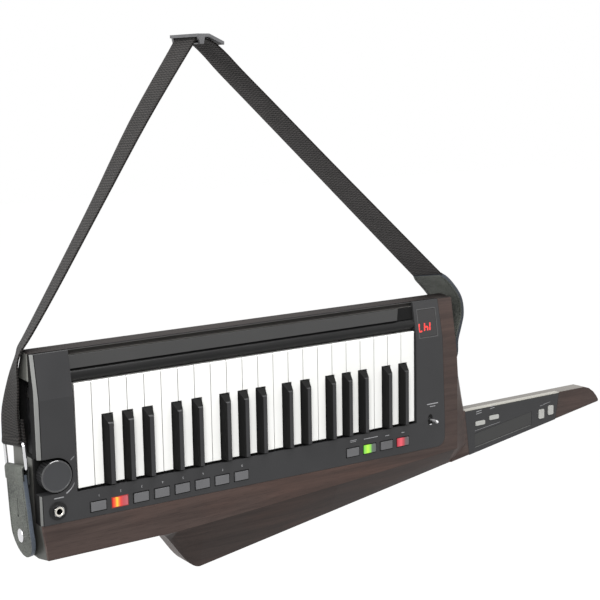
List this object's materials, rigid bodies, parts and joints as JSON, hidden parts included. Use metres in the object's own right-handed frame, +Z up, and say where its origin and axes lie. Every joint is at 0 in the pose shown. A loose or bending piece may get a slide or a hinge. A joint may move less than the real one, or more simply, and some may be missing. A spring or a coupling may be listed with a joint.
{
  "type": "keytar",
  "caption": "Wood-bodied shoulder keyboard with slim piano keys, touch strips, buttons, a volume knob and a short control neck, hung from a webbing strap with leather ends.",
  "frame": {"origin": "the underside of the strap's top bend, where it lies on a shoulder or a hook", "axes": "+X along the keys towards the neck, +Y from the key faces to the back, +Z up as it hangs"},
  "size_m": [0.8433, 0.0906, 0.5927],
  "materials": {
    "stained_wood": "dark red-brown stain, satin lacquer",
    "black_panel": "fine textured black",
    "white_key": "glossy white",
    "black_key": "satin black",
    "ribbon": "soft matte film",
    "button": "translucent grey, matte",
    "neck_button": "pale silicone rubber",
    "smoke": "dark smoked window",
    "knob": "satin black with a ribbed edge",
    "chrome": "polished",
    "dark_plastic": "matte black",
    "webbing": "herringbone weave",
    "leather": "dark, stitched, painted edges",
    "slider": "dark enamel"
  },
  "bodies": {
    "instrument": {"wooden_body": "stained_wood", "front_panel": "black_panel", "keybed": "dark_plastic", "touch_strip": "ribbon", "display_window": "smoke", "output_jack": "chrome", "neck_panel": "black_panel", "neck_touch_strip": "ribbon", "back_cover": "dark_plastic", "connector_panel": "dark_plastic", "strap_pin_left": "chrome", "strap_end_left": "leather", "strap_ring": "chrome", "strap_webbing": "webbing", "strap_slider": "slider", "strap_end_right": "leather", "strap_pin_right": "chrome"},
    "white_key_01": {"white_key_01": "white_key"},
    "white_key_02": {"white_key_02": "white_key"},
    "white_key_03": {"white_key_03": "white_key"},
    "white_key_04": {"white_key_04": "white_key"},
    "white_key_05": {"white_key_05": "white_key"},
    "white_key_06": {"white_key_06": "white_key"},
    "white_key_07": {"white_key_07": "white_key"},
    "white_key_08": {"white_key_08": "white_key"},
    "white_key_09": {"white_key_09": "white_key"},
    "white_key_10": {"white_key_10": "white_key"},
    "white_key_11": {"white_key_11": "white_key"},
    "white_key_12": {"white_key_12": "white_key"},
    "white_key_13": {"white_key_13": "white_key"},
    "white_key_14": {"white_key_14": "white_key"},
    "white_key_15": {"white_key_15": "white_key"},
    "white_key_16": {"white_key_16": "white_key"},
    "white_key_17": {"white_key_17": "white_key"},
    "white_key_18": {"white_key_18": "white_key"},
    "white_key_19": {"white_key_19": "white_key"},
    "white_key_20": {"white_key_20": "white_key"},
    "white_key_21": {"white_key_21": "white_key"},
    "white_key_22": {"white_key_22": "white_key"},
    "black_key_01": {"black_key_01": "black_key"},
    "black_key_02": {"black_key_02": "black_key"},
    "black_key_03": {"black_key_03": "black_key"},
    "black_key_04": {"black_key_04": "black_key"},
    "black_key_05": {"black_key_05": "black_key"},
    "black_key_06": {"black_key_06": "black_key"},
    "black_key_07": {"black_key_07": "black_key"},
    "black_key_08": {"black_key_08": "black_key"},
    "black_key_09": {"black_key_09": "black_key"},
    "black_key_10": {"black_key_10": "black_key"},
    "black_key_11": {"black_key_11": "black_key"},
    "black_key_12": {"black_key_12": "black_key"},
    "black_key_13": {"black_key_13": "black_key"},
    "black_key_14": {"black_key_14": "black_key"},
    "black_key_15": {"black_key_15": "black_key"},
    "volume_knob": {"volume_knob": "knob"},
    "toggle_lever": {"toggle_lever": "chrome"},
    "program_button_bank": {"program_button_bank": "button"},
    "function_button_bank": {"function_button_bank": "button"},
    "neck_button_mat": {"neck_button_mat": "neck_button"},
    "battery_door": {"battery_door": "dark_plastic"}
  },
  "joints": [
    {"name": "white_key_01_hinge", "type": "hinge", "parent": "instrument", "child": "white_key_01", "pos_m": [-0.1577, -0.026, -0.471], "axis": [-1, 0, 0], "range_deg": [0, 3.7], "stiffness_Nm_per_rad": 0.5, "springref_deg": -2.86},
    {"name": "white_key_02_hinge", "type": "hinge", "parent": "instrument", "child": "white_key_02", "pos_m": [-0.1371, -0.026, -0.471], "axis": [-1, 0, 0], "range_deg": [0, 3.7], "stiffness_Nm_per_rad": 0.5, "springref_deg": -2.86},
    {"name": "white_key_03_hinge", "type": "hinge", "parent": "instrument", "child": "white_key_03", "pos_m": [-0.1165, -0.026, -0.471], "axis": [-1, 0, 0], "range_deg": [0, 3.7], "stiffness_Nm_per_rad": 0.5, "springref_deg": -2.86},
    {"name": "white_key_04_hinge", "type": "hinge", "parent": "instrument", "child": "white_key_04", "pos_m": [-0.0959, -0.026, -0.471], "axis": [-1, 0, 0], "range_deg": [0, 3.7], "stiffness_Nm_per_rad": 0.5, "springref_deg": -2.86},
    {"name": "white_key_05_hinge", "type": "hinge", "parent": "instrument", "child": "white_key_05", "pos_m": [-0.0753, -0.026, -0.471], "axis": [-1, 0, 0], "range_deg": [0, 3.7], "stiffness_Nm_per_rad": 0.5, "springref_deg": -2.86},
    {"name": "white_key_06_hinge", "type": "hinge", "parent": "instrument", "child": "white_key_06", "pos_m": [-0.0547, -0.026, -0.471], "axis": [-1, 0, 0], "range_deg": [0, 3.7], "stiffness_Nm_per_rad": 0.5, "springref_deg": -2.86},
    {"name": "white_key_07_hinge", "type": "hinge", "parent": "instrument", "child": "white_key_07", "pos_m": [-0.0341, -0.026, -0.471], "axis": [-1, 0, 0], "range_deg": [0, 3.7], "stiffness_Nm_per_rad": 0.5, "springref_deg": -2.86},
    {"name": "white_key_08_hinge", "type": "hinge", "parent": "instrument", "child": "white_key_08", "pos_m": [-0.0135, -0.026, -0.471], "axis": [-1, 0, 0], "range_deg": [0, 3.7], "stiffness_Nm_per_rad": 0.5, "springref_deg": -2.86},
    {"name": "white_key_09_hinge", "type": "hinge", "parent": "instrument", "child": "white_key_09", "pos_m": [0.0071, -0.026, -0.471], "axis": [-1, 0, 0], "range_deg": [0, 3.7], "stiffness_Nm_per_rad": 0.5, "springref_deg": -2.86},
    {"name": "white_key_10_hinge", "type": "hinge", "parent": "instrument", "child": "white_key_10", "pos_m": [0.0277, -0.026, -0.471], "axis": [-1, 0, 0], "range_deg": [0, 3.7], "stiffness_Nm_per_rad": 0.5, "springref_deg": -2.86},
    {"name": "white_key_11_hinge", "type": "hinge", "parent": "instrument", "child": "white_key_11", "pos_m": [0.0483, -0.026, -0.471], "axis": [-1, 0, 0], "range_deg": [0, 3.7], "stiffness_Nm_per_rad": 0.5, "springref_deg": -2.86},
    {"name": "white_key_12_hinge", "type": "hinge", "parent": "instrument", "child": "white_key_12", "pos_m": [0.0689, -0.026, -0.471], "axis": [-1, 0, 0], "range_deg": [0, 3.7], "stiffness_Nm_per_rad": 0.5, "springref_deg": -2.86},
    {"name": "white_key_13_hinge", "type": "hinge", "parent": "instrument", "child": "white_key_13", "pos_m": [0.0895, -0.026, -0.471], "axis": [-1, 0, 0], "range_deg": [0, 3.7], "stiffness_Nm_per_rad": 0.5, "springref_deg": -2.86},
    {"name": "white_key_14_hinge", "type": "hinge", "parent": "instrument", "child": "white_key_14", "pos_m": [0.1101, -0.026, -0.471], "axis": [-1, 0, 0], "range_deg": [0, 3.7], "stiffness_Nm_per_rad": 0.5, "springref_deg": -2.86},
    {"name": "white_key_15_hinge", "type": "hinge", "parent": "instrument", "child": "white_key_15", "pos_m": [0.1307, -0.026, -0.471], "axis": [-1, 0, 0], "range_deg": [0, 3.7], "stiffness_Nm_per_rad": 0.5, "springref_deg": -2.86},
    {"name": "white_key_16_hinge", "type": "hinge", "parent": "instrument", "child": "white_key_16", "pos_m": [0.1513, -0.026, -0.471], "axis": [-1, 0, 0], "range_deg": [0, 3.7], "stiffness_Nm_per_rad": 0.5, "springref_deg": -2.86},
    {"name": "white_key_17_hinge", "type": "hinge", "parent": "instrument", "child": "white_key_17", "pos_m": [0.1719, -0.026, -0.471], "axis": [-1, 0, 0], "range_deg": [0, 3.7], "stiffness_Nm_per_rad": 0.5, "springref_deg": -2.86},
    {"name": "white_key_18_hinge", "type": "hinge", "parent": "instrument", "child": "white_key_18", "pos_m": [0.1925, -0.026, -0.471], "axis": [-1, 0, 0], "range_deg": [0, 3.7], "stiffness_Nm_per_rad": 0.5, "springref_deg": -2.86},
    {"name": "white_key_19_hinge", "type": "hinge", "parent": "instrument", "child": "white_key_19", "pos_m": [0.2131, -0.026, -0.471], "axis": [-1, 0, 0], "range_deg": [0, 3.7], "stiffness_Nm_per_rad": 0.5, "springref_deg": -2.86},
    {"name": "white_key_20_hinge", "type": "hinge", "parent": "instrument", "child": "white_key_20", "pos_m": [0.2337, -0.026, -0.471], "axis": [-1, 0, 0], "range_deg": [0, 3.7], "stiffness_Nm_per_rad": 0.5, "springref_deg": -2.86},
    {"name": "white_key_21_hinge", "type": "hinge", "parent": "instrument", "child": "white_key_21", "pos_m": [0.2543, -0.026, -0.471], "axis": [-1, 0, 0], "range_deg": [0, 3.7], "stiffness_Nm_per_rad": 0.5, "springref_deg": -2.86},
    {"name": "white_key_22_hinge", "type": "hinge", "parent": "instrument", "child": "white_key_22", "pos_m": [0.2749, -0.026, -0.471], "axis": [-1, 0, 0], "range_deg": [0, 3.7], "stiffness_Nm_per_rad": 0.5, "springref_deg": -2.86},
    {"name": "black_key_01_hinge", "type": "hinge", "parent": "instrument", "child": "black_key_01", "pos_m": [-0.1301, -0.026, -0.471], "axis": [-1, 0, 0], "range_deg": [0, 3.7], "stiffness_Nm_per_rad": 0.5, "springref_deg": -2.86},
    {"name": "black_key_02_hinge", "type": "hinge", "parent": "instrument", "child": "black_key_02", "pos_m": [-0.1062, -0.026, -0.471], "axis": [-1, 0, 0], "range_deg": [0, 3.7], "stiffness_Nm_per_rad": 0.5, "springref_deg": -2.86},
    {"name": "black_key_03_hinge", "type": "hinge", "parent": "instrument", "child": "black_key_03", "pos_m": [-0.0823, -0.026, -0.471], "axis": [-1, 0, 0], "range_deg": [0, 3.7], "stiffness_Nm_per_rad": 0.5, "springref_deg": -2.86},
    {"name": "black_key_04_hinge", "type": "hinge", "parent": "instrument", "child": "black_key_04", "pos_m": [-0.0468, -0.026, -0.471], "axis": [-1, 0, 0], "range_deg": [0, 3.7], "stiffness_Nm_per_rad": 0.5, "springref_deg": -2.86},
    {"name": "black_key_05_hinge", "type": "hinge", "parent": "instrument", "child": "black_key_05", "pos_m": [-0.0214, -0.026, -0.471], "axis": [-1, 0, 0], "range_deg": [0, 3.7], "stiffness_Nm_per_rad": 0.5, "springref_deg": -2.86},
    {"name": "black_key_06_hinge", "type": "hinge", "parent": "instrument", "child": "black_key_06", "pos_m": [0.0141, -0.026, -0.471], "axis": [-1, 0, 0], "range_deg": [0, 3.7], "stiffness_Nm_per_rad": 0.5, "springref_deg": -2.86},
    {"name": "black_key_07_hinge", "type": "hinge", "parent": "instrument", "child": "black_key_07", "pos_m": [0.038, -0.026, -0.471], "axis": [-1, 0, 0], "range_deg": [0, 3.7], "stiffness_Nm_per_rad": 0.5, "springref_deg": -2.86},
    {"name": "black_key_08_hinge", "type": "hinge", "parent": "instrument", "child": "black_key_08", "pos_m": [0.0619, -0.026, -0.471], "axis": [-1, 0, 0], "range_deg": [0, 3.7], "stiffness_Nm_per_rad": 0.5, "springref_deg": -2.86},
    {"name": "black_key_09_hinge", "type": "hinge", "parent": "instrument", "child": "black_key_09", "pos_m": [0.0974, -0.026, -0.471], "axis": [-1, 0, 0], "range_deg": [0, 3.7], "stiffness_Nm_per_rad": 0.5, "springref_deg": -2.86},
    {"name": "black_key_10_hinge", "type": "hinge", "parent": "instrument", "child": "black_key_10", "pos_m": [0.1228, -0.026, -0.471], "axis": [-1, 0, 0], "range_deg": [0, 3.7], "stiffness_Nm_per_rad": 0.5, "springref_deg": -2.86},
    {"name": "black_key_11_hinge", "type": "hinge", "parent": "instrument", "child": "black_key_11", "pos_m": [0.1583, -0.026, -0.471], "axis": [-1, 0, 0], "range_deg": [0, 3.7], "stiffness_Nm_per_rad": 0.5, "springref_deg": -2.86},
    {"name": "black_key_12_hinge", "type": "hinge", "parent": "instrument", "child": "black_key_12", "pos_m": [0.1822, -0.026, -0.471], "axis": [-1, 0, 0], "range_deg": [0, 3.7], "stiffness_Nm_per_rad": 0.5, "springref_deg": -2.86},
    {"name": "black_key_13_hinge", "type": "hinge", "parent": "instrument", "child": "black_key_13", "pos_m": [0.2061, -0.026, -0.471], "axis": [-1, 0, 0], "range_deg": [0, 3.7], "stiffness_Nm_per_rad": 0.5, "springref_deg": -2.86},
    {"name": "black_key_14_hinge", "type": "hinge", "parent": "instrument", "child": "black_key_14", "pos_m": [0.2416, -0.026, -0.471], "axis": [-1, 0, 0], "range_deg": [0, 3.7], "stiffness_Nm_per_rad": 0.5, "springref_deg": -2.86},
    {"name": "black_key_15_hinge", "type": "hinge", "parent": "instrument", "child": "black_key_15", "pos_m": [0.267, -0.026, -0.471], "axis": [-1, 0, 0], "range_deg": [0, 3.7], "stiffness_Nm_per_rad": 0.5, "springref_deg": -2.86},
    {"name": "volume_turn", "type": "hinge", "parent": "instrument", "child": "volume_knob", "pos_m": [-0.1929, -0.033, -0.4436], "axis": [0, 1, 0], "range_deg": [-140, 140]},
    {"name": "toggle_flip", "type": "hinge", "parent": "instrument", "child": "toggle_lever", "pos_m": [0.3082, -0.033, -0.4644], "axis": [1, 0, 0], "range_deg": [-12, 12]},
    {"name": "program_button_press", "type": "slide", "parent": "instrument", "child": "program_button_bank", "axis": [0, 1, 0], "range_m": [0, 0.001], "stiffness_N_per_m": 1000, "springref_m": -0.0005},
    {"name": "function_button_press", "type": "slide", "parent": "instrument", "child": "function_button_bank", "axis": [0, 1, 0], "range_m": [0, 0.001], "stiffness_N_per_m": 1000, "springref_m": -0.0005},
    {"name": "neck_button_press", "type": "slide", "parent": "instrument", "child": "neck_button_mat", "axis": [0, 1, 0], "range_m": [0, 0.0008], "stiffness_N_per_m": 1000, "springref_m": -0.0005},
    {"name": "battery_door_hinge", "type": "hinge", "parent": "instrument", "child": "battery_door", "pos_m": [0.186, 0.0308, -0.4808], "axis": [-1, 0, 0], "range_deg": [0, 95]}
  ]
}
